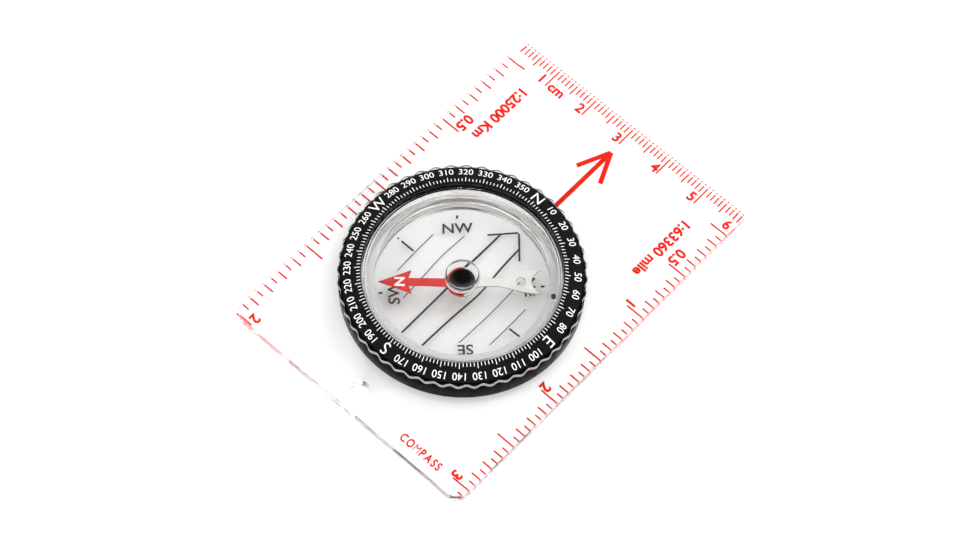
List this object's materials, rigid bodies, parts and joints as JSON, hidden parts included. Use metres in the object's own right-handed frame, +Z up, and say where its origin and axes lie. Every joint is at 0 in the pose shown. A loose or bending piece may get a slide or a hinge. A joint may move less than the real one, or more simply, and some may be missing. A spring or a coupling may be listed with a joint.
{
  "type": "baseplate compass",
  "caption": "Clear ruler plate with a rotating dial housing and a pivoted magnetic needle, for taking bearings and measuring on a map.",
  "frame": {"origin": "centre of the plate's footprint, on its underside, which is the face that lies on the map", "axes": "+Y along the direction-of-travel arrow, +X to the right seen from above, +Z up out of the plate"},
  "size_m": [0.06, 0.0856, 0.0098],
  "materials": {
    "clear_plastic": "polished clear acrylic with red and black printing",
    "black_plastic": "glossy black moulding with white printing on the dial",
    "black_nylon": "dull nylon",
    "grey_plastic": "satin",
    "white_plastic": "dull white nylon",
    "brass": "turned",
    "steel": "ground and polished",
    "needle_paint": "red on the north half, white on the south half, semi-gloss",
    "jewel": "polished synthetic ruby"
  },
  "bodies": {
    "baseplate": {"baseplate": "clear_plastic", "friction_ring": "black_nylon"},
    "housing": {"snap_ring": "clear_plastic", "bezel_ring": "black_plastic", "grip_ring": "clear_plastic", "dial_plate": "black_plastic", "capsule_base": "clear_plastic", "capsule_lid": "clear_plastic", "filler_plug": "grey_plastic", "pivot_base": "white_plastic", "pivot_pin": "steel"},
    "needle": {"needle_blade": "needle_paint", "hub_cap": "black_plastic", "jewel_bearing": "jewel", "hub_ferrule": "brass"}
  },
  "joints": [
    {"name": "housing_turn", "type": "hinge", "parent": "baseplate", "child": "housing", "pos_m": [-0.0005, -0.0084, 0.0031], "axis": [0, 0, 1], "continuous": true},
    {"name": "needle_swing", "type": "hinge", "parent": "housing", "child": "needle", "pos_m": [-0.0005, -0.0084, 0.00535], "axis": [0, 0, 1], "continuous": true}
  ]
}
